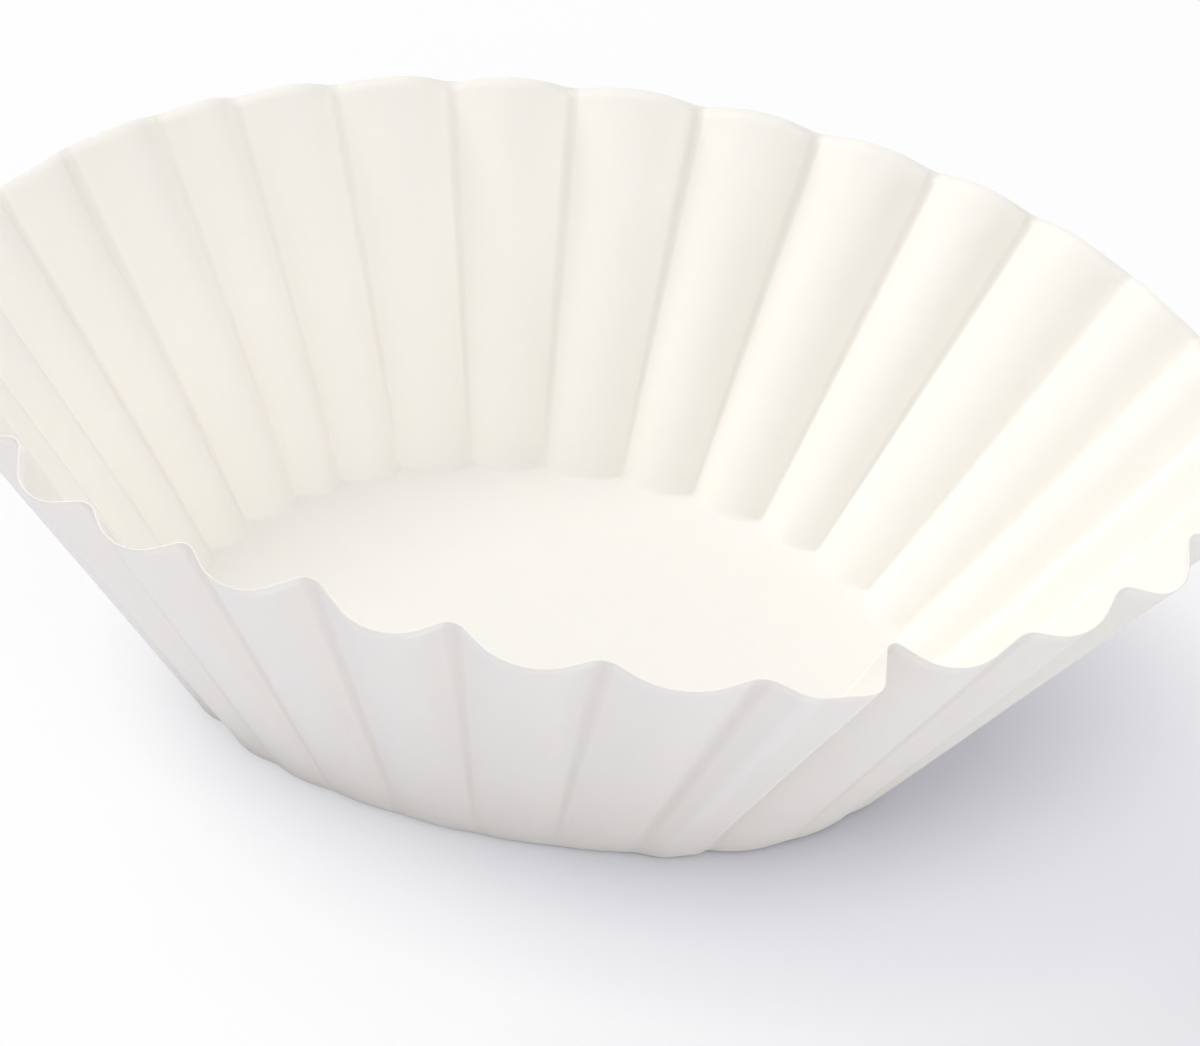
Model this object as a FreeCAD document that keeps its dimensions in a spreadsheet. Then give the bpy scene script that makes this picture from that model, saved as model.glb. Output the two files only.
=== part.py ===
import FreeCAD, Part
import math
import os

import Sketcher

# Paper coffee filter: a disc of paper pressed into a flat round base and a fluted wall.
# Millimetres, +Z up, origin in the middle of the base's underside.

SIZES = {
    "base_diameter": 108.0,
    "rim_diameter": 184.6,
    "wall_length": 64.9,
    "paper_thickness": 0.15,
    "flute_count": 30,
    "flute_depth": 8.0,
    "rim_round_share": 0.6,
    "base_round_share": 0.85,
}

# One row for each flute, counter-clockwise from the right-hand side:
# width in degrees, crest's place in that width, width of a flat-topped crest in degrees,
# crest's and valley's corners past the mean rim as shares of the flutes' depth,
# how round the crest is and how round the valley is (0 a crease, 1 fully round),
# how much of the flute is left at the base (1 keeps its flanks flat),
# and how far the base's edge stands out there past the mean base, in mm.
FLUTES = [
    (12.3, 0.62, 0.0, 0.47, -0.62, 0.0, 0.9, 1.00, 0.0),
    (12.8, 0.72, 0.0, 0.47, -0.62, 0.0, 1.0, 1.00, 0.0),
    (13.1, 0.65, 0.0, 0.47, -0.62, 0.0, 1.0, 1.00, 0.0),
    (13.3, 0.64, 0.0, 0.46, -0.62, 0.0, 1.0, 1.00, 0.0),
    (13.7, 0.56, 0.0, 0.45, -0.62, 0.0, 1.0, 1.00, 0.0),
    (13.5, 0.52, 0.0, 0.44, -0.60, 0.0, 1.0, 1.00, 0.0),
    (12.6, 0.48, 0.0, 0.44, -0.60, 0.0, 1.0, 1.00, 0.0),
    (12.4, 0.48, 0.0, 0.44, -0.60, 0.0, 1.0, 1.00, 0.0),
    (10.2, 0.46, 0.0, 0.44, -0.58, 0.0, 1.0, 1.00, 0.0),
    (11.2, 0.36, 0.0, 0.42, -0.56, 0.0, 1.0, 1.00, 0.0),
    (11.6, 0.45, 0.0, 0.44, -0.56, 0.0, 1.0, 1.00, 0.0),
    (11.4, 0.46, 0.0, 0.46, -0.56, 0.0, 1.0, 1.00, 0.0),
    (11.3, 0.49, 0.0, 0.48, -0.56, 0.1, 0.9, 1.00, 0.1),
    (11.6, 0.50, 0.0, 0.50, -0.54, 0.3, 0.7, 1.00, 0.4),
    (11.7, 0.50, 0.0, 0.52, -0.50, 0.5, 0.5, 0.90, 1.1),
    (11.6, 0.50, 0.0, 0.55, -0.46, 0.7, 0.3, 0.70, 1.7),
    (11.1, 0.52, 0.0, 0.56, -0.42, 0.9, 0.1, 0.50, 1.5),
    (10.0, 0.52, 0.0, 0.41, -0.31, 1.0, 0.0, 0.30, 0.5),
    (10.9, 0.48, 0.0, 0.20, -0.59, 1.0, 0.0, 0.20, -0.8),
    (12.0, 0.55, 0.0, 0.10, -0.85, 1.0, 0.0, 0.15, -1.7),
    (11.9, 0.46, 0.0, 0.18, -0.76, 1.0, 0.0, 0.15, -2.2),
    (12.2, 0.46, 0.0, 0.26, -0.48, 1.0, 0.0, 0.15, -1.8),
    (10.8, 0.59, 5.6, 0.25, -0.24, 0.1, 0.0, 0.35, -0.2),
    (12.7, 0.40, 0.0, 0.28, -0.80, 1.0, 0.0, 0.30, 1.5),
    (12.0, 0.47, 0.0, 0.21, -0.39, 1.0, 0.0, 0.20, 2.3),
    (12.5, 0.50, 0.0, 0.45, -0.51, 0.9, 0.0, 0.30, 2.3),
    (12.8, 0.50, 0.0, 0.50, -0.50, 0.7, 0.1, 0.50, 2.0),
    (12.6, 0.50, 0.0, 0.50, -0.50, 0.5, 0.3, 0.80, 1.4),
    (12.1, 0.53, 0.0, 0.48, -0.54, 0.3, 0.5, 1.00, 0.6),
    (12.1, 0.58, 0.0, 0.47, -0.58, 0.1, 0.7, 1.00, 0.2),
]
FIRST_VALLEY = 23.7
ARCS_PER_FOLD = 4
FLAT_ENOUGH = 1e-6


def write_sizes(doc):
    """The driving dimensions, one cell each, with the alias that the features use."""
    sheet = doc.addObject("Spreadsheet::Sheet", "sizes")
    for row, (alias, value) in enumerate(SIZES.items(), start=1):
        sheet.set("A%d" % row, alias)
        sheet.set("B%d" % row, str(value))
        sheet.setAlias("B%d" % row, alias)
    doc.recompute()
    return sheet


def between(low, high, share):
    """A value that share of the way from low to high."""
    return low + (high - low) * share


def wall_height(sheet):
    """Height of the rim where the wall stands at its mean slope."""
    run = (sheet.rim_diameter - sheet.base_diameter) / 2
    return math.sqrt(sheet.wall_length ** 2 - run ** 2)


def list_folds(sheet):
    """Each valley and crest in order, as (azimuth, base reach, rim reach, roundness)."""
    rows = [FLUTES[k % len(FLUTES)] for k in range(int(sheet.flute_count))]
    degree = 2 * math.pi / sum(row[0] for row in rows)
    base_radius = sheet.base_diameter / 2
    rim_radius = sheet.rim_diameter / 2
    folds = []
    start = FIRST_VALLEY * degree
    for row, row_before in zip(rows, rows[-1:] + rows[:-1]):
        width, place, flat_top, crest, valley, crest_round, valley_round, carry, stand_out = row
        middle = start + place * width * degree
        half_top = flat_top / 2 * degree
        spots = [(start, valley, valley_round, (stand_out + row_before[-1]) / 2)]
        tops = sorted({middle - half_top, middle + half_top})
        spots += [(top, crest, crest_round, stand_out) for top in tops]
        for azimuth, share, roundness, base_out in spots:
            out = share * sheet.flute_depth
            base_reach = base_radius * (1 + carry * out / rim_radius) + base_out
            folds.append((azimuth, base_reach, rim_radius + out, roundness))
        start += width * degree
    return folds


def turned(angle):
    """The unit vector at an angle."""
    return FreeCAD.Vector(math.cos(angle), math.sin(angle), 0)


def fold_corners(folds, share):
    """Where the flanks meet at each fold, at a share of the wall's height."""
    return [turned(azimuth) * between(base_reach, rim_reach, share)
            for azimuth, base_reach, rim_reach, _ in folds]


def flank_normals(corners):
    """Angle of the outward normal of the flank that follows each corner."""
    steps = [after - here for here, after in zip(corners, corners[1:] + corners[:1])]
    return [math.atan2(step.y, step.x) - math.pi / 2 for step in steps]


def turns_between(normals):
    """How far the outline turns at each corner: left at a crest, right at a valley."""
    return [(normals[k] - normals[k - 1] + math.pi) % (2 * math.pi) - math.pi
            for k in range(len(normals))]


def fold_radii(corners, folds, round_share):
    """Radius of each fold, as large as its share of the shorter flank allows; 0 is a crease."""
    turns = turns_between(flank_normals(corners))
    radii = []
    for k, corner in enumerate(corners):
        following = corners[(k + 1) % len(corners)]
        flank = min((corner - corners[k - 1]).Length, (following - corner).Length)
        radii.append(folds[k][3] * round_share * flank / math.tan(abs(turns[k]) / 2))
    return radii


def outline(sheet, level, shift):
    """The wall's outline at a height, as lists of points, one list for each fold.

    A crease is one point. A round fold is a row of arcs, and each arc adds its middle and its end.
    A positive shift moves the outline outwards, parallel to itself.
    """
    folds = list_folds(sheet)
    share = level / wall_height(sheet)
    corners = fold_corners(folds, share)
    round_share = between(sheet.base_round_share, sheet.rim_round_share, share)
    radii = fold_radii(corners, folds, round_share)
    normals = flank_normals(corners)
    turns = turns_between(normals)
    points = []
    for k, corner in enumerate(corners):
        middle = turned(normals[k - 1] + turns[k] / 2)
        radius = math.copysign(radii[k], turns[k])
        if not radius:
            spots = [corner + middle * (shift / math.cos(turns[k] / 2))]
        else:
            centre = corner - middle * (radius / math.cos(turns[k] / 2))
            half_step = turns[k] / ARCS_PER_FOLD / 2
            spots = [centre + turned(normals[k - 1] + j * half_step) * (radius + shift)
                     for j in range(2 * ARCS_PER_FOLD + 1)]
        points.append([FreeCAD.Vector(spot.x, spot.y, level) for spot in spots])
    return points


def outline_edges(points):
    """The arcs and lines through an outline's points."""
    edges = []
    for spots, next_spots in zip(points, points[1:] + points[:1]):
        for j in range(0, len(spots) - 1, 2):
            edges.append(Part.Arc(spots[j], spots[j + 1], spots[j + 2]).toShape())
        edges.append(Part.makeLine(spots[-1], next_spots[0]))
    return edges


def strip(low, high):
    """The face between an edge and the one above it: flat between parallel lines, else ruled."""
    corners = [low.Vertexes[0].Point, low.Vertexes[-1].Point]
    corners += [high.Vertexes[-1].Point, high.Vertexes[0].Point]
    along = corners[1] - corners[0]
    twist = along.cross(corners[2] - corners[3]).Length / along.Length
    if isinstance(low.Curve, Part.Line) and twist < FLAT_ENOUGH:
        return Part.Face(Part.makePolygon(corners + corners[:1]))
    return Part.makeRuledSurface(low, high)


def fluted_form(sheet, low, high, shift):
    """The closed solid of the fluted outline between two heights."""
    low_edges = outline_edges(outline(sheet, low, shift))
    high_edges = outline_edges(outline(sheet, high, shift))
    faces = [strip(below, above) for below, above in zip(low_edges, high_edges)]
    faces += [Part.Face(Part.Wire(edges)) for edges in (low_edges, high_edges)]
    shell = Part.makeShell(faces)
    shell.sewShape()
    solid = Part.makeSolid(shell)
    solid.fix(FLAT_ENOUGH, FLAT_ENOUGH, FLAT_ENOUGH)
    return solid


def add_form(doc, name, shape):
    """A solid that Part's own functions made."""
    form = doc.addObject("Part::Feature", name)
    form.Shape = shape
    return form


def add_rim_cut(doc):
    """A ring whose inner face is a cone, square to the mean wall at the rim."""
    profile = doc.addObject("Sketcher::SketchObject", "rim_cut_profile")
    point = FreeCAD.Vector
    profile.Placement = FreeCAD.Placement(point(), FreeCAD.Rotation(point(1, 0, 0), 90))
    corners = [point(80, 62, 0), point(110, 40, 0), point(110, 62, 0)]
    slope, side, top = [profile.addGeometry(Part.LineSegment(here, after))
                        for here, after in zip(corners, corners[1:] + corners[:1])]
    wall = profile.addGeometry(Part.LineSegment(point(54, 0, 0), point(92, 52, 0)), True)
    rules = [
        ("Coincident", slope, 2, side, 1),
        ("Coincident", side, 2, top, 1),
        ("Coincident", top, 2, slope, 1),
        ("Vertical", side),
        ("Horizontal", top),
        ("PointOnObject", wall, 1, -1),
        ("Perpendicular", slope, wall),
        ("PointOnObject", wall, 2, slope),
    ]
    for rule in rules:
        profile.addConstraint(Sketcher.Constraint(*rule))
    named = [
        ("base_reach", ("DistanceX", -1, 1, wall, 1, 54.0), "sizes.base_diameter / 2"),
        ("rim_reach", ("DistanceX", -1, 1, wall, 2, 92.0), "sizes.rim_diameter / 2"),
        ("wall", ("Distance", wall, 1, wall, 2, 65.0), "sizes.wall_length"),
        ("top", ("DistanceY", -1, 1, top, 2, 62.0), "sizes.wall_length + sizes.flute_depth"),
        ("outer", ("DistanceX", -1, 1, side, 1, 110.0),
         "sizes.rim_diameter / 2 + 3 * sizes.flute_depth"),
    ]
    for name, rule, size in named:
        profile.renameConstraint(profile.addConstraint(Sketcher.Constraint(*rule)), name)
        profile.setExpression("Constraints." + name, size)
    ring = doc.addObject("Part::Revolution", "rim_cut")
    ring.Source = profile
    ring.Axis = (0, 0, 1)
    ring.Angle = 360
    ring.Solid = True
    return ring


def add_cut(doc, name, base, tool):
    """One solid less another."""
    cut = doc.addObject("Part::Cut", name)
    cut.Base = base
    cut.Tool = tool
    return cut


def add_filter(doc, sheet):
    """The whole sheet: an outer form, less the inner one, trimmed at the rim."""
    paper = sheet.paper_thickness
    half_wall = paper * sheet.wall_length / wall_height(sheet) / 2
    mouth = wall_height(sheet) + sheet.flute_depth
    outside = add_form(doc, "outside", fluted_form(sheet, 0, mouth, half_wall))
    inside = add_form(doc, "inside", fluted_form(sheet, paper, mouth + paper, -half_wall))
    shell = add_cut(doc, "shell", outside, inside)
    piece = add_cut(doc, "filter", shell, add_rim_cut(doc))
    doc.recompute()
    return piece


def export(doc, pieces):
    """Checks every object and writes each piece's shape to its own file."""
    for item in doc.Objects:
        if "Invalid" in item.State or "Error" in item.State:
            raise RuntimeError("%s failed: %s" % (item.Label, item.State))
    os.makedirs("parts", exist_ok=True)
    for piece in pieces:
        shape = piece.Shape
        if shape.isNull() or not shape.isValid() or len(shape.Solids) != 1:
            raise RuntimeError("%s isn't one valid solid" % piece.Label)
        shape.Solids[0].exportStep("parts/%s.step" % piece.Label)
        size = shape.optimalBoundingBox()
        print("%s: %.1f x %.1f x %.1f mm, %.0f mm3 of paper"
              % (piece.Label, size.XLength, size.YLength, size.ZLength, shape.Volume))


doc = FreeCAD.newDocument("coffee_filter")
sizes = write_sizes(doc)
export(doc, [add_filter(doc, sizes)])
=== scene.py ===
"""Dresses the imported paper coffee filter, and sets its floor, its light and its camera."""

from __future__ import annotations

import logging
import math
from dataclasses import dataclass
from enum import Enum

import bpy
import numpy as np
from mathutils import Matrix, Vector

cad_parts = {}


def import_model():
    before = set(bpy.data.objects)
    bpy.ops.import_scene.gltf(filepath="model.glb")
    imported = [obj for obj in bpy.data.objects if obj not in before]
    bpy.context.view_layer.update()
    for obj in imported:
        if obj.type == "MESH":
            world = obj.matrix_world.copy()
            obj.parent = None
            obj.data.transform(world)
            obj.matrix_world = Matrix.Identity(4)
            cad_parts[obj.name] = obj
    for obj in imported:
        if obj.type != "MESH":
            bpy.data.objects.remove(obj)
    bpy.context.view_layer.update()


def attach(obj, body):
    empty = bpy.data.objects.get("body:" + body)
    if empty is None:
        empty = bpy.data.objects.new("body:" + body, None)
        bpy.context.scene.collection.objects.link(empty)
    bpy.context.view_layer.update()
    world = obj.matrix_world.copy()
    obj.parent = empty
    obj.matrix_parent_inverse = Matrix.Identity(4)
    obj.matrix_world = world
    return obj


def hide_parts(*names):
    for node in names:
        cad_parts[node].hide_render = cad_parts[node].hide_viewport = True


log = logging.getLogger("coffee_filter")

MM = 0.001
BODY = "root"
NODE = "filter"

Colour = tuple[float, float, float]


class Role(Enum):
    """What a lamp is there for."""

    KEY = "key"
    FILL = "fill"
    SIDE = "side_light"


@dataclass(frozen=True)
class Lamp:
    """A soft square lamp that points at the filter.

    Its azimuth is in degrees counter-clockwise from +X, its elevation in degrees above the floor,
    its distance and its side in metres, and its power in watts.
    """

    role: Role
    azimuth: float
    elevation: float
    distance: float
    side: float
    power: float
    light: Colour

    def build(self) -> None:
        """Hangs the lamp."""
        lamp = bpy.data.lights.new(self.role.value, "AREA")
        lamp.size = self.side
        lamp.energy = self.power
        lamp.color = self.light
        turn, rise = math.radians(self.azimuth), math.radians(self.elevation)
        level = math.cos(rise)
        way = Vector((math.cos(turn) * level, math.sin(turn) * level, math.sin(rise)))
        thing = bpy.data.objects.new(self.role.value, lamp)
        thing.location = way * self.distance
        thing.rotation_euler = way.to_track_quat("Z", "Y").to_euler()
        bpy.context.scene.collection.objects.link(thing)


WARM_LIGHT = (1.0, 0.98, 0.94)
SIDE_LIGHT = (1.0, 0.99, 0.97)
LAMPS = (
    Lamp(Role.KEY, 150.0, 48.0, 2.2, 0.85, 21.5, WARM_LIGHT),
    Lamp(Role.FILL, -98.0, 56.0, 2.4, 0.9, 13.5, WARM_LIGHT),
    Lamp(Role.SIDE, -20.0, 18.0, 2.2, 0.5, 6.0, SIDE_LIGHT),
)


@dataclass(frozen=True)
class Flute:
    """One flute, from its valley to the next, counter-clockwise seen from above.

    Reaches are shares of the flutes' depth past the mean rim. A roundness of 0 is a crease.
    """

    width: float
    crest_place: float
    flat_top: float
    crest: float
    valley: float
    crest_round: float
    valley_round: float
    carry: float
    stand_out: float


FIRST_VALLEY = 23.7
FLUTES = tuple(
    Flute(*row)
    for row in (
        (12.3, 0.62, 0.0, 0.47, -0.62, 0.0, 0.9, 1.0, 0.0),
        (12.8, 0.72, 0.0, 0.47, -0.62, 0.0, 1.0, 1.0, 0.0),
        (13.1, 0.65, 0.0, 0.47, -0.62, 0.0, 1.0, 1.0, 0.0),
        (13.3, 0.64, 0.0, 0.46, -0.62, 0.0, 1.0, 1.0, 0.0),
        (13.7, 0.56, 0.0, 0.45, -0.62, 0.0, 1.0, 1.0, 0.0),
        (13.5, 0.52, 0.0, 0.44, -0.6, 0.0, 1.0, 1.0, 0.0),
        (12.6, 0.48, 0.0, 0.44, -0.6, 0.0, 1.0, 1.0, 0.0),
        (12.4, 0.48, 0.0, 0.44, -0.6, 0.0, 1.0, 1.0, 0.0),
        (10.2, 0.46, 0.0, 0.44, -0.58, 0.0, 1.0, 1.0, 0.0),
        (11.2, 0.36, 0.0, 0.42, -0.56, 0.0, 1.0, 1.0, 0.0),
        (11.6, 0.45, 0.0, 0.44, -0.56, 0.0, 1.0, 1.0, 0.0),
        (11.4, 0.46, 0.0, 0.46, -0.56, 0.0, 1.0, 1.0, 0.0),
        (11.3, 0.49, 0.0, 0.48, -0.56, 0.1, 0.9, 1.0, 0.1),
        (11.6, 0.5, 0.0, 0.5, -0.54, 0.3, 0.7, 1.0, 0.4),
        (11.7, 0.5, 0.0, 0.52, -0.5, 0.5, 0.5, 0.9, 1.1),
        (11.6, 0.5, 0.0, 0.55, -0.46, 0.7, 0.3, 0.7, 1.7),
        (11.1, 0.52, 0.0, 0.56, -0.42, 0.9, 0.1, 0.5, 1.5),
        (10.0, 0.52, 0.0, 0.41, -0.31, 1.0, 0.0, 0.3, 0.5),
        (10.9, 0.48, 0.0, 0.2, -0.59, 1.0, 0.0, 0.2, -0.8),
        (12.0, 0.55, 0.0, 0.1, -0.85, 1.0, 0.0, 0.15, -1.7),
        (11.9, 0.46, 0.0, 0.18, -0.76, 1.0, 0.0, 0.15, -2.2),
        (12.2, 0.46, 0.0, 0.26, -0.48, 1.0, 0.0, 0.15, -1.8),
        (10.8, 0.59, 5.6, 0.25, -0.24, 0.1, 0.0, 0.35, -0.2),
        (12.7, 0.4, 0.0, 0.28, -0.8, 1.0, 0.0, 0.3, 1.5),
        (12.0, 0.47, 0.0, 0.21, -0.39, 1.0, 0.0, 0.2, 2.3),
        (12.5, 0.5, 0.0, 0.45, -0.51, 0.9, 0.0, 0.3, 2.3),
        (12.8, 0.5, 0.0, 0.5, -0.5, 0.7, 0.1, 0.5, 2.0),
        (12.6, 0.5, 0.0, 0.5, -0.5, 0.5, 0.3, 0.8, 1.4),
        (12.1, 0.53, 0.0, 0.48, -0.54, 0.3, 0.5, 1.0, 0.6),
        (12.1, 0.58, 0.0, 0.47, -0.58, 0.1, 0.7, 1.0, 0.2),
    )
)


@dataclass(frozen=True)
class Fold:
    """Where two flanks meet: its azimuth in radians, its reach at base and rim, its roundness."""

    azimuth: float
    base_reach: float
    rim_reach: float
    roundness: float


def make_material(name: str) -> tuple[bpy.types.Material, bpy.types.NodeTree]:
    """Makes an empty node material.

    Args:
        name: The material's name.

    Returns:
        The material and its cleared node tree.
    """
    material = bpy.data.materials.new(name)
    material.use_nodes = True
    material.node_tree.nodes.clear()
    return material, material.node_tree


def add_node(tree: bpy.types.NodeTree, kind: str, **settings: object) -> bpy.types.Node:
    """Adds a node and sets its properties.

    Args:
        tree: The tree it goes in.
        kind: The node's type name.
        **settings: Properties of the node.

    Returns:
        The new node.
    """
    node = tree.nodes.new(kind)
    for key, value in settings.items():
        setattr(node, key, value)
    return node


def math_node(
    tree: bpy.types.NodeTree, operation: str, first: object, second: object
) -> bpy.types.NodeSocket:
    """Joins two numbers or sockets by a Math node.

    Args:
        tree: The tree it goes in.
        operation: The Math node's operation.
        first: A number or an output socket.
        second: A number or an output socket.

    Returns:
        The result's socket.
    """
    node = add_node(tree, "ShaderNodeMath", operation=operation)
    for place, value in enumerate((first, second)):
        if isinstance(value, bpy.types.NodeSocket):
            tree.links.new(value, node.inputs[place])
        else:
            node.inputs[place].default_value = value
    return node.outputs[0]


def mix_colours(
    tree: bpy.types.NodeTree, share: object, first: object, second: object
) -> bpy.types.NodeSocket:
    """Mixes two colours.

    Args:
        tree: The tree it goes in.
        share: How much of the second, a number or a socket.
        first: A colour or a socket.
        second: A colour or a socket.

    Returns:
        The mixed colour's socket.
    """
    node = add_node(tree, "ShaderNodeMix", data_type="RGBA")
    for place, value in ((0, share), (6, first), (7, second)):
        if isinstance(value, bpy.types.NodeSocket):
            tree.links.new(value, node.inputs[place])
        elif place:
            node.inputs[place].default_value = (*value, 1.0)
        else:
            node.inputs[place].default_value = value
    return node.outputs[2]


def build_fibre_group() -> bpy.types.NodeTree:
    """Builds the effect that both paper materials use: felted fibres and slow unevenness.

    Returns:
        The shader node group, with Fibres, Cloud and Height out.
    """
    group = bpy.data.node_groups.new("paper_fibres", "ShaderNodeTree")
    for name, value in (("Fibre Scale", 900.0), ("Cloud Scale", 30.0)):
        socket = group.interface.new_socket(name, in_out="INPUT", socket_type="NodeSocketFloat")
        socket.default_value = value
    group.interface.new_socket("Vector", in_out="INPUT", socket_type="NodeSocketVector")
    for name in ("Fibres", "Cloud", "Height"):
        group.interface.new_socket(name, in_out="OUTPUT", socket_type="NodeSocketFloat")
    source = add_node(group, "NodeGroupInput")
    result = add_node(group, "NodeGroupOutput")
    fibres = add_node(group, "ShaderNodeTexNoise", noise_dimensions="3D")
    fibres.inputs["Detail"].default_value = 4.0
    fibres.inputs["Roughness"].default_value = 0.65
    fibres.inputs["Distortion"].default_value = 1.2
    cloud = add_node(group, "ShaderNodeTexNoise", noise_dimensions="3D")
    cloud.inputs["Detail"].default_value = 3.0
    for noise, scale in ((fibres, "Fibre Scale"), (cloud, "Cloud Scale")):
        group.links.new(source.outputs["Vector"], noise.inputs["Vector"])
        group.links.new(source.outputs[scale], noise.inputs["Scale"])
    height = math_node(group, "MULTIPLY_ADD", fibres.outputs[0], 1.0)
    group.links.new(cloud.outputs[0], height.node.inputs[2])
    group.links.new(fibres.outputs[0], result.inputs["Fibres"])
    group.links.new(cloud.outputs[0], result.inputs["Cloud"])
    group.links.new(height, result.inputs["Height"])
    return group


@dataclass(frozen=True)
class PaperFinish:
    """Soft white filter paper: matt, felted, a little uneven, thin enough to glow, with painted
    shade in its grooves and a painted highlight on its ridges.
    """

    name: str
    white: Colour
    shade: Colour
    # Painted shade colour for the hollow folds.
    groove_shade: Colour
    # Painted highlight colour for the crest folds.
    ridge_highlight: Colour
    roughness: float = 0.9
    gloss: float = 0.15
    cloudiness: float = 0.8
    grain: float = 0.25
    grain_strength: float = 0.35
    grain_depth: float = 0.00006
    glow: float = 0.5
    glow_depth: float = 0.0006
    glow_colour: Colour = (1.0, 0.9, 0.72)

    def build(self, fibres: bpy.types.NodeTree) -> bpy.types.Material:
        """Builds the material.

        Args:
            fibres: The shared fibre group.

        Returns:
            The paper's material.
        """
        material, tree = make_material(self.name)
        place = add_node(tree, "ShaderNodeTexCoord")
        group = add_node(tree, "ShaderNodeGroup", node_tree=fibres)
        # Mask of the painted shade in the grooves.
        groove_shade = add_node(tree, "ShaderNodeAttribute", attribute_name="groove_shade")
        # Mask of the painted highlight on the ridges.
        ridge_highlight = add_node(tree, "ShaderNodeAttribute", attribute_name="ridge_highlight")
        surface = add_node(tree, "ShaderNodeBsdfPrincipled")
        bump = add_node(tree, "ShaderNodeBump")
        out = add_node(tree, "ShaderNodeOutputMaterial")
        tree.links.new(place.outputs["Object"], group.inputs["Vector"])
        speckle = math_node(tree, "MULTIPLY", group.outputs["Fibres"], self.grain)
        unevenness = math_node(tree, "MULTIPLY_ADD", group.outputs["Cloud"], self.cloudiness)
        tree.links.new(speckle, unevenness.node.inputs[2])
        paper = mix_colours(tree, unevenness, self.white, self.shade)
        # Painted shade: darker along the hollow folds.
        groove_shaded = mix_colours(tree, groove_shade.outputs["Fac"], paper, self.groove_shade)
        # Painted highlight: lighter along the crest folds.
        ridge_lit = mix_colours(tree, ridge_highlight.outputs["Fac"], groove_shaded, self.ridge_highlight)
        bump.inputs["Strength"].default_value = self.grain_strength
        bump.inputs["Distance"].default_value = self.grain_depth
        tree.links.new(group.outputs["Height"], bump.inputs["Height"])
        tree.links.new(ridge_lit, surface.inputs["Base Color"])
        tree.links.new(bump.outputs[0], surface.inputs["Normal"])
        surface.inputs["Roughness"].default_value = self.roughness
        surface.inputs["Specular IOR Level"].default_value = self.gloss
        surface.inputs["Subsurface Weight"].default_value = self.glow
        surface.inputs["Subsurface Radius"].default_value = self.glow_colour
        surface.inputs["Subsurface Scale"].default_value = self.glow_depth
        tree.links.new(surface.outputs[0], out.inputs["Surface"])
        return material


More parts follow.
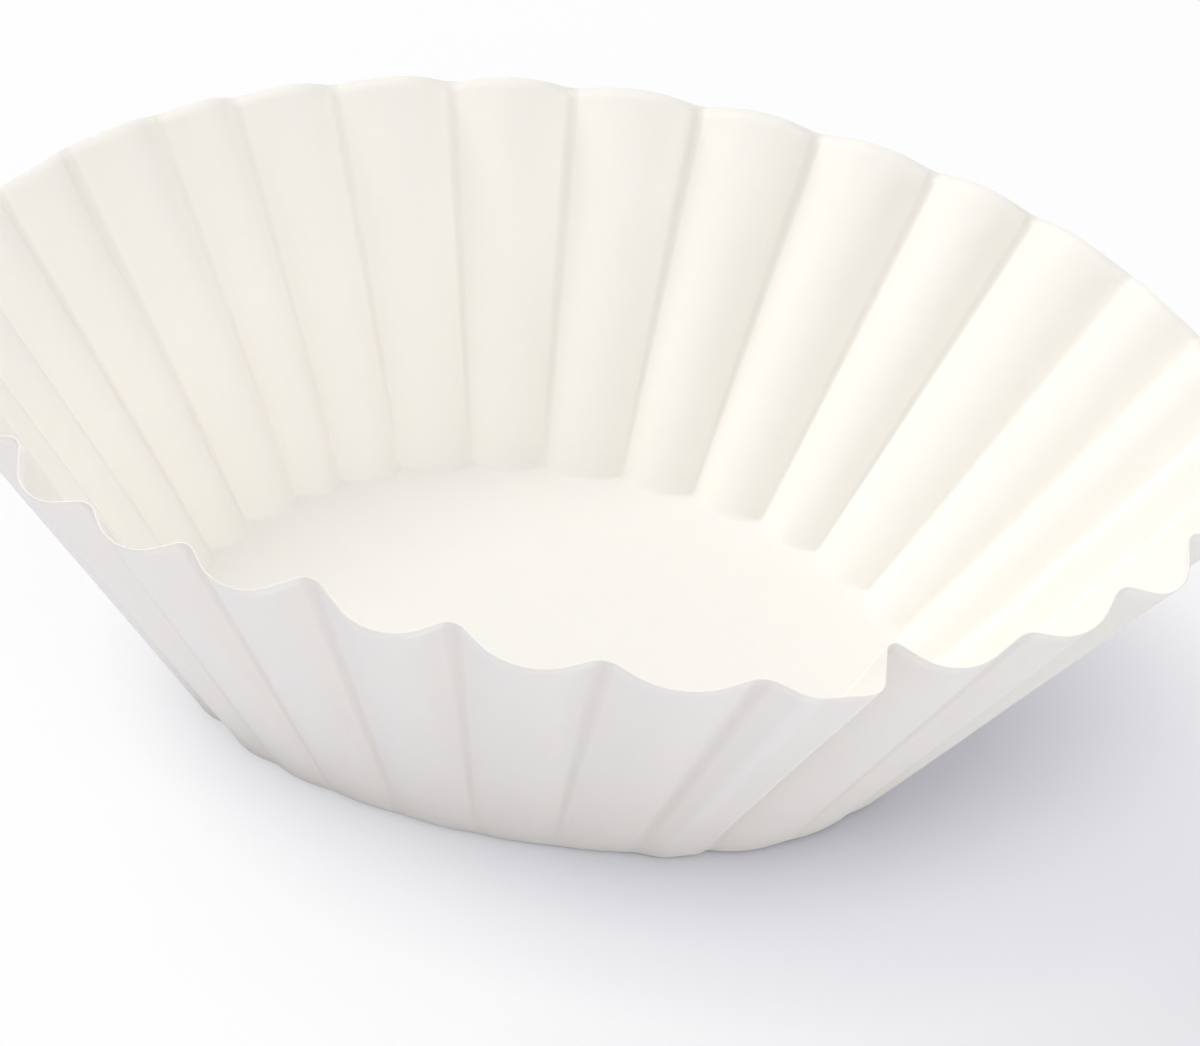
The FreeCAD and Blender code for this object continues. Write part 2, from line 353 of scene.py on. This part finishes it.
@dataclass
class FilterSheet:
    """The one sheet of paper: a flat round base and a fluted wall, in millimetres."""

    base_radius: float = 54.0
    rim_radius: float = 92.3
    wall_length: float = 64.9
    flute_depth: float = 8.0
    paper: float = 0.17
    base_round_share: float = 0.85
    rim_round_share: float = 0.6
    crease_reach: float = 2.0
    crease_share: float = 0.32
    fold_room: float = 0.94
    edge_reach: float = 0.9
    edge_steps: int = 5
    fold_steps: int = 8
    wall_steps: int = 34
    flank_spots: tuple[float, ...] = (0.15, 0.5, 0.85)
    disc_rings: tuple[float, ...] = (0.06, 0.3, 0.55, 0.75, 0.9)
    crease_fade: float = 0.25
    cut_rounds: int = 12
    ripple_height: float = 0.45
    ripple_size: float = 16.0
    ripple_detail: float = 1.5
    ripple_seed: float = 3.7

    @property
    def height(self) -> float:
        """The mean wall's height."""
        return math.sqrt(self.wall_length**2 - (self.rim_radius - self.base_radius) ** 2)

    def folds(self) -> list[Fold]:
        """Lists every fold in order.

        Returns:
            The valleys and crests, counter-clockwise.
        """
        degree = 2 * math.pi / sum(flute.width for flute in FLUTES)
        start = FIRST_VALLEY * degree
        folds = []
        for flute, before in zip(FLUTES, FLUTES[-1:] + FLUTES[:-1]):
            middle = start + flute.crest_place * flute.width * degree
            half_top = flute.flat_top / 2 * degree
            sway = (flute.stand_out + before.stand_out) / 2
            spots = [(start, flute.valley, flute.valley_round, sway)]
            for top in sorted({middle - half_top, middle + half_top}):
                spots.append((top, flute.crest, flute.crest_round, flute.stand_out))
            for azimuth, share, roundness, stand_out in spots:
                out = share * self.flute_depth
                base = self.base_radius * (1 + flute.carry * out / self.rim_radius) + stand_out
                folds.append(Fold(azimuth, base, self.rim_radius + out, roundness))
            start += flute.width * degree
        return folds

    def outline(self, share: float) -> np.ndarray:
        """Traces the sheet's outline at a share of the wall's height.

        Args:
            share: 0 at the base, 1 at the mean rim.

        Returns:
            One complex number for each column of the mesh, counter-clockwise.
        """
        folds = self.folds()
        corners = np.array(
            [
                (fold.base_reach + (fold.rim_reach - fold.base_reach) * share)
                * np.exp(1j * fold.azimuth)
                for fold in folds
            ]
        )
        after = np.roll(corners, -1) - corners
        lengths = np.abs(after)
        ahead = after / lengths
        behind = np.roll(ahead, 1)
        turn = np.angle(ahead / behind)
        shorter = np.minimum(lengths, np.roll(lengths, 1))
        spread = self.base_round_share + (self.rim_round_share - self.base_round_share) * share
        roundness = np.array([fold.roundness for fold in folds])
        rounded = roundness * spread * shorter
        room = np.minimum(
            self.fold_room * lengths - np.roll(rounded, -1),
            self.fold_room * np.roll(lengths, 1) - np.roll(rounded, 1),
        )
        crease = np.minimum(np.minimum(self.crease_reach, self.crease_share * shorter), room)
        reach = np.maximum(rounded, crease)
        weight = np.cos(turn / 2)
        enter, leave = corners - behind * reach, corners + ahead * reach
        columns = []
        for f in np.linspace(0, 1, self.fold_steps):
            parts = (1 - f) ** 2, 2 * f * (1 - f) * weight, f**2
            point = parts[0] * enter + parts[1] * corners + parts[2] * leave
            columns.append(point / sum(parts))
        flank = np.roll(enter, -1) - leave
        columns += [leave + flank * f for f in self.flank_spots]
        return np.array(columns).T.ravel()

    def painted_crease_mask(self, outer: bool) -> np.ndarray:
        """Marks the creases for the painted groove shade and ridge highlight.

        Args:
            outer: Whether the outer folds are marked, or else the inner ones.

        Returns:
            1 along a crease and 0 away from it, for each column.
        """
        profile = np.sin(np.pi * np.linspace(0, 1, self.fold_steps))
        profile = np.concatenate([profile, np.zeros(len(self.flank_spots))])
        crisp = [
            1 - fold.roundness if (fold.rim_reach > self.rim_radius) is outer else 0.0
            for fold in self.folds()
        ]
        return np.outer(crisp, profile).ravel()

    def rim_shares(self, base: np.ndarray, mouth: np.ndarray, mouth_level: float) -> np.ndarray:
        """Finds where each column meets the cut that is square to the mean wall.

        Args:
            base: The outline at the base.
            mouth: The outline above the rim.
            mouth_level: That outline's height.

        Returns:
            The share of each column's length that is kept.
        """
        run, rise = self.rim_radius - self.base_radius, self.height
        shares = np.ones(len(base))
        for _ in range(self.cut_rounds):
            reach = np.abs(base + (mouth - base) * shares)
            wanted = rise - (reach - self.rim_radius) * run / rise
            shares = (shares + wanted / mouth_level) / 2
        return shares

    def rings(self) -> tuple[np.ndarray, np.ndarray]:
        """Lays out the sheet's middle surface, from the middle of the base to the rim.

        Returns:
            Points as rings by columns by XYZ, and each ring's share of the wall.
        """
        base = self.outline(0.0)
        level = self.height + self.flute_depth
        mouth = self.outline(level / self.height)
        kept = self.rim_shares(base, mouth, level)
        lift = self.paper / 2
        floor = np.stack([base.real, base.imag, np.full(len(base), lift)], axis=1)
        end = base + (mouth - base) * kept
        rim = np.stack([end.real, end.imag, lift + level * kept], axis=1)
        slant = rim - floor
        length = np.linalg.norm(slant, axis=1)[:, None]
        inner = floor * (1 - self.edge_reach / np.abs(base)[:, None] * np.array([1, 1, 0]))
        upper = floor + slant / length * self.edge_reach
        walked = np.cumsum(np.abs(base - np.roll(base, 1)))
        angles = np.angle(base[0]) + 2 * np.pi * (walked - walked[0]) / walked[-1]
        disc = floor.copy()
        disc[:, 0], disc[:, 1] = np.cos(angles), np.sin(angles)
        disc[:, :2] *= self.base_radius
        rows, shares = [], []
        for share in self.disc_rings:
            blend = share**3
            ring = (disc * (1 - blend) + inner * blend) * np.array([share, share, 1])
            rows.append(ring)
            shares.append(0.0)
        for f in np.linspace(0, 1, self.edge_steps):
            rows.append((1 - f) ** 2 * inner + 2 * f * (1 - f) * floor + f**2 * upper)
            shares.append(0.0)
        for f in np.linspace(0, 1, self.wall_steps)[1:]:
            rows.append(upper + (rim - upper) * f)
            shares.append(float(f))
        return np.array(rows), np.array(shares)

    def build_mesh(self) -> bpy.types.Mesh:
        """Makes the middle surface's mesh and marks its creases for the painted groove shade and
        ridge highlight.

        Returns:
            The mesh, in metres.
        """
        rows, shares = self.rings()
        count, columns = rows.shape[:2]
        points = [(0.0, 0.0, self.paper / 2 * MM)]
        points += [tuple(point) for point in (rows.reshape(-1, 3) * MM)]
        along = np.arange(columns)
        faces = [(0, 1 + c, 1 + (c + 1) % columns) for c in along]
        for r in range(count - 1):
            low, high = 1 + r * columns, 1 + (r + 1) * columns
            faces += [
                (low + c, high + c, high + (c + 1) % columns, low + (c + 1) % columns)
                for c in along
            ]
        mesh = bpy.data.meshes.new("filter_sheet")
        mesh.from_pydata(points, [], faces)
        fade = np.minimum(shares / self.crease_fade, 1.0)
        marks = {
            # Masks for the painted groove shade and ridge highlight, faded in over the lowest
            # part of the wall.
            "groove_shade": np.outer(fade, self.painted_crease_mask(True)).ravel(),
            "ridge_highlight": np.outer(fade, self.painted_crease_mask(False)).ravel(),
            "share": np.repeat(shares, columns),
        }
        for name, values in marks.items():
            layer = mesh.attributes.new(name, "FLOAT", "POINT")
            layer.data.foreach_set("value", np.concatenate([[0.0], values]))
        return mesh

    def turn_creases(self, mesh: bpy.types.Mesh) -> None:
        """Swaps the painted groove shade and ridge highlight on the outer face, where each fold
        is seen from behind.

        Args:
            mesh: The sheet with its thickness, one face's points after the other's.
        """
        places = np.empty(len(mesh.vertices) * 3)
        mesh.vertices.foreach_get("co", places)
        radii = np.hypot(*places.reshape(2, -1, 3)[:, :, :2].transpose(2, 0, 1))
        outside = int(radii[1].sum() > radii[0].sum())
        layers = [mesh.attributes[name].data for name in ("groove_shade", "ridge_highlight")]
        values = [np.empty(len(mesh.vertices)) for _ in layers]
        for layer, marks in zip(layers, values):
            layer.foreach_get("value", marks)
        faces = [marks.reshape(2, -1) for marks in values]
        kept = faces[0][outside].copy()
        faces[0][outside] = faces[1][outside]
        faces[1][outside] = kept
        for layer, marks in zip(layers, values):
            layer.foreach_set("value", marks)

    def build_tree(self, paper: bpy.types.Material) -> bpy.types.NodeTree:
        """Builds the tree that lets the wall ripple as handled paper does.

        Args:
            paper: The sheet's material.

        Returns:
            The Geometry Nodes tree.
        """
        tree = bpy.data.node_groups.new("paper_ripple", "GeometryNodeTree")
        face = tree.interface
        face.new_socket("Geometry", in_out="INPUT", socket_type="NodeSocketGeometry")
        for name in ("Ripple Height", "Ripple Size", "Seed"):
            face.new_socket(name, in_out="INPUT", socket_type="NodeSocketFloat")
        face.new_socket("Geometry", in_out="OUTPUT", socket_type="NodeSocketGeometry")
        source, result = add_node(tree, "NodeGroupInput"), add_node(tree, "NodeGroupOutput")
        place = add_node(tree, "GeometryNodeInputPosition")
        size = math_node(tree, "DIVIDE", 1.0, source.outputs["Ripple Size"])
        noise = add_node(tree, "ShaderNodeTexNoise", noise_dimensions="4D")
        noise.inputs["Detail"].default_value = self.ripple_detail
        tree.links.new(place.outputs[0], noise.inputs["Vector"])
        tree.links.new(size, noise.inputs["Scale"])
        tree.links.new(source.outputs["Seed"], noise.inputs["W"])
        centred = math_node(tree, "SUBTRACT", noise.outputs[0], 0.5)
        share = add_node(tree, "GeometryNodeInputNamedAttribute", data_type="FLOAT")
        share.inputs["Name"].default_value = "share"
        fade = math_node(tree, "MULTIPLY", share.outputs[0], source.outputs["Ripple Height"])
        swing = math_node(tree, "MULTIPLY", centred, fade)
        normal = add_node(tree, "GeometryNodeInputNormal")
        offset = add_node(tree, "ShaderNodeVectorMath", operation="SCALE")
        tree.links.new(normal.outputs[0], offset.inputs[0])
        tree.links.new(swing, offset.inputs["Scale"])
        move = add_node(tree, "GeometryNodeSetPosition")
        smooth = add_node(tree, "GeometryNodeSetShadeSmooth")
        realize = add_node(tree, "GeometryNodeRealizeInstances")
        dress = add_node(tree, "GeometryNodeSetMaterial")
        dress.inputs["Material"].default_value = paper
        tree.links.new(source.outputs["Geometry"], move.inputs["Geometry"])
        tree.links.new(offset.outputs[0], move.inputs["Offset"])
        chain = (move, smooth, realize, dress, result)
        for first, second in zip(chain, chain[1:]):
            tree.links.new(first.outputs[0], second.inputs[0])
        return tree

    def build(self, paper: bpy.types.Material, cut: bpy.types.Material) -> bpy.types.Object:
        """Builds the sheet as one closed mesh that stands for the CAD node.

        Args:
            paper: The material of its two faces.
            cut: The material of its cut edge.

        Returns:
            The sheet's object.
        """
        raw = bpy.data.objects.new("filter_form", self.build_mesh())
        bpy.context.scene.collection.objects.link(raw)
        ripple = raw.modifiers.new("ripple", "NODES")
        ripple.node_group = self.build_tree(paper)
        settings = {
            "Ripple Height": self.ripple_height * MM,
            "Ripple Size": self.ripple_size * MM,
            "Seed": self.ripple_seed,
        }
        for item in ripple.node_group.interface.items_tree:
            if item.name in settings:
                ripple[item.identifier] = settings[item.name]
        thicken = raw.modifiers.new("paper", "SOLIDIFY")
        thicken.thickness = self.paper * MM
        thicken.offset = 0.0
        thicken.material_offset_rim = 1
        evaluated = raw.evaluated_get(bpy.context.evaluated_depsgraph_get())
        mesh = bpy.data.meshes.new_from_object(evaluated)
        bpy.data.objects.remove(raw)
        mesh.materials.clear()
        for material in (paper, cut):
            mesh.materials.append(material)
        self.turn_creases(mesh)
        piece = bpy.data.objects.new("coffee_filter_sheet", mesh)
        bpy.context.scene.collection.objects.link(piece)
        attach(piece, BODY)
        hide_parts(NODE)
        return piece


@dataclass
class Studio:
    """The pale floor, the soft light from behind and the camera."""

    floor_size: float = 6.0
    floor_paint: Colour = (0.82, 0.826, 0.895)
    floor_white: Colour = (1.0, 1.0, 1.0)
    # Painted shadow: a lavender-grey spot on the floor to the filter's right.
    painted_shadow_lavender: Colour = (0.76, 0.75, 0.785)
    painted_shadow_place: tuple[float, float] = (0.11, -0.05)
    painted_shadow_reach: float = 0.12
    shadow_spot: tuple[float, float] = (0.02, 0.0)
    shadow_reach: float = 0.088
    shadow_gain: float = 2.0
    white_shown: float = 0.85
    sky: Colour = (0.965, 0.965, 1.0)
    sky_level: float = 0.58
    camera_place: tuple[float, float, float] = (0.0, -0.4257, 0.2606)
    camera_down: float = 28.842
    camera_roll: float = 7.814
    lens: float = 100.125
    shift: tuple[float, float] = (0.0205, -0.0236)

    def add_spot(
        self, tree: bpy.types.NodeTree, centre: tuple[float, float], reach: float
    ) -> bpy.types.NodeSocket:
        """Makes a round spot on the floor, 1 at its centre and 0 from its reach on.

        Args:
            tree: The floor's material tree.
            centre: The spot's place on the floor, in metres.
            reach: Its radius in metres.

        Returns:
            The socket with the spot's strength.
        """
        place = add_node(tree, "ShaderNodeTexCoord")
        spread = add_node(tree, "ShaderNodeMapping")
        spread.inputs["Location"].default_value = (-centre[0] / reach, -centre[1] / reach, 0.0)
        spread.inputs["Scale"].default_value = (1 / reach,) * 3
        spot = add_node(tree, "ShaderNodeTexGradient", gradient_type="SPHERICAL")
        tree.links.new(place.outputs["Object"], spread.inputs["Vector"])
        tree.links.new(spread.outputs[0], spot.inputs["Vector"])
        return spot.outputs[1]

    def build_floor(self) -> None:
        """Lays the floor, which shows nearly white and keeps the filter's shadow near it. Farther
        out a painted white glow covers the cast shadow, and a painted lavender shadow lies to the
        filter's right.
        """
        half = self.floor_size / 2
        mesh = bpy.data.meshes.new("floor")
        corners = [(-half, -half, 0), (half, -half, 0), (half, half, 0), (-half, half, 0)]
        mesh.from_pydata(corners, [], [(0, 1, 2, 3)])
        floor = bpy.data.objects.new("floor", mesh)
        bpy.context.scene.collection.objects.link(floor)
        material, tree = make_material("floor_paint")
        # Painted shadow: the glow turns lavender-grey to the filter's right.
        painted_shadow = self.add_spot(tree, self.painted_shadow_place, self.painted_shadow_reach)
        glow_with_painted_shadow = mix_colours(tree, painted_shadow, self.floor_white, self.painted_shadow_lavender)
        paint = add_node(tree, "ShaderNodeBsdfDiffuse")
        paint.inputs["Color"].default_value = (*self.floor_paint, 1.0)
        glow = add_node(tree, "ShaderNodeEmission")
        tree.links.new(glow_with_painted_shadow, glow.inputs["Color"])
        path = add_node(tree, "ShaderNodeLightPath")
        seen = math_node(
            tree, "MAXIMUM", path.outputs["Is Camera Ray"], path.outputs["Is Glossy Ray"]
        )
        seen = math_node(tree, "MAXIMUM", seen, path.outputs["Is Transmission Ray"])
        # Painted light: far from the filter the white glow shows and covers the cast shadow; near
        # it the lit paint shows with its real shadow.
        near = self.add_spot(tree, self.shadow_spot, self.shadow_reach)
        near = math_node(tree, "MULTIPLY", near, self.shadow_gain)
        far = math_node(tree, "SUBTRACT", 1.0, math_node(tree, "MINIMUM", near, 1.0))
        white = math_node(tree, "MULTIPLY", far, self.white_shown)
        shown = math_node(tree, "MULTIPLY", seen, white)
        mix = add_node(tree, "ShaderNodeMixShader")
        out = add_node(tree, "ShaderNodeOutputMaterial")
        tree.links.new(shown, mix.inputs[0])
        tree.links.new(paint.outputs[0], mix.inputs[1])
        tree.links.new(glow.outputs[0], mix.inputs[2])
        tree.links.new(mix.outputs[0], out.inputs["Surface"])
        mesh.materials.append(material)

    def build_sky(self) -> None:
        """Sets an even pale sky, which gives most of the light."""
        world = bpy.data.worlds.new("sky")
        world.use_nodes = True
        background = world.node_tree.nodes["Background"]
        background.inputs["Color"].default_value = (*self.sky, 1.0)
        background.inputs["Strength"].default_value = self.sky_level
        bpy.context.scene.world = world

    def build_camera(self) -> None:
        """Stands the camera where the photograph was taken from."""
        down, roll = math.radians(self.camera_down), math.radians(self.camera_roll)
        ahead = Vector((0.0, math.cos(down), -math.sin(down)))
        level_up = Vector((0.0, math.sin(down), math.cos(down)))
        level_right = Vector((1.0, 0.0, 0.0))
        right = level_right * math.cos(roll) + level_up * math.sin(roll)
        above = level_up * math.cos(roll) - level_right * math.sin(roll)
        lens = bpy.data.cameras.new("camera")
        lens.lens = self.lens
        lens.sensor_width = 36.0
        lens.shift_x, lens.shift_y = self.shift
        camera = bpy.data.objects.new("camera", lens)
        turned = Matrix((right, above, -ahead)).transposed().to_4x4()
        camera.matrix_world = Matrix.Translation(Vector(self.camera_place)) @ turned
        bpy.context.scene.collection.objects.link(camera)
        bpy.context.scene.camera = camera

    def build(self) -> None:
        """Builds the floor, the light and the camera."""
        self.build_camera()
        self.build_floor()
        self.build_sky()
        for lamp in LAMPS:
            lamp.build()
        bpy.context.scene.view_settings.view_transform = "Standard"


def main() -> None:
    """Builds the studio and the filter in order."""
    logging.basicConfig(level=logging.INFO, format="%(message)s")
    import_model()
    Studio().build()
    fibres = build_fibre_group()
    paper = PaperFinish(
        name="filter_paper",
        white=(0.92, 0.897, 0.84),
        shade=(0.88, 0.852, 0.78),
        # Painted shade in the grooves.
        groove_shade=(0.815, 0.79, 0.735),
        # Painted highlight on the ridges.
        ridge_highlight=(0.94, 0.918, 0.868),
    )
    cut = PaperFinish(
        name="cut_paper",
        white=(0.90, 0.87, 0.78),
        shade=(0.82, 0.77, 0.64),
        groove_shade=(0.88, 0.84, 0.74),
        # The cut edge takes one painted tone along both its grooves and its ridges.
        ridge_highlight=(0.88, 0.84, 0.74),
        grain=0.5,
    )
    sheet = FilterSheet().build(paper.build(fibres), cut.build(fibres))
    log.info("%s: %d faces", sheet.name, len(sheet.data.polygons))


if __name__ == "__main__":
    main()
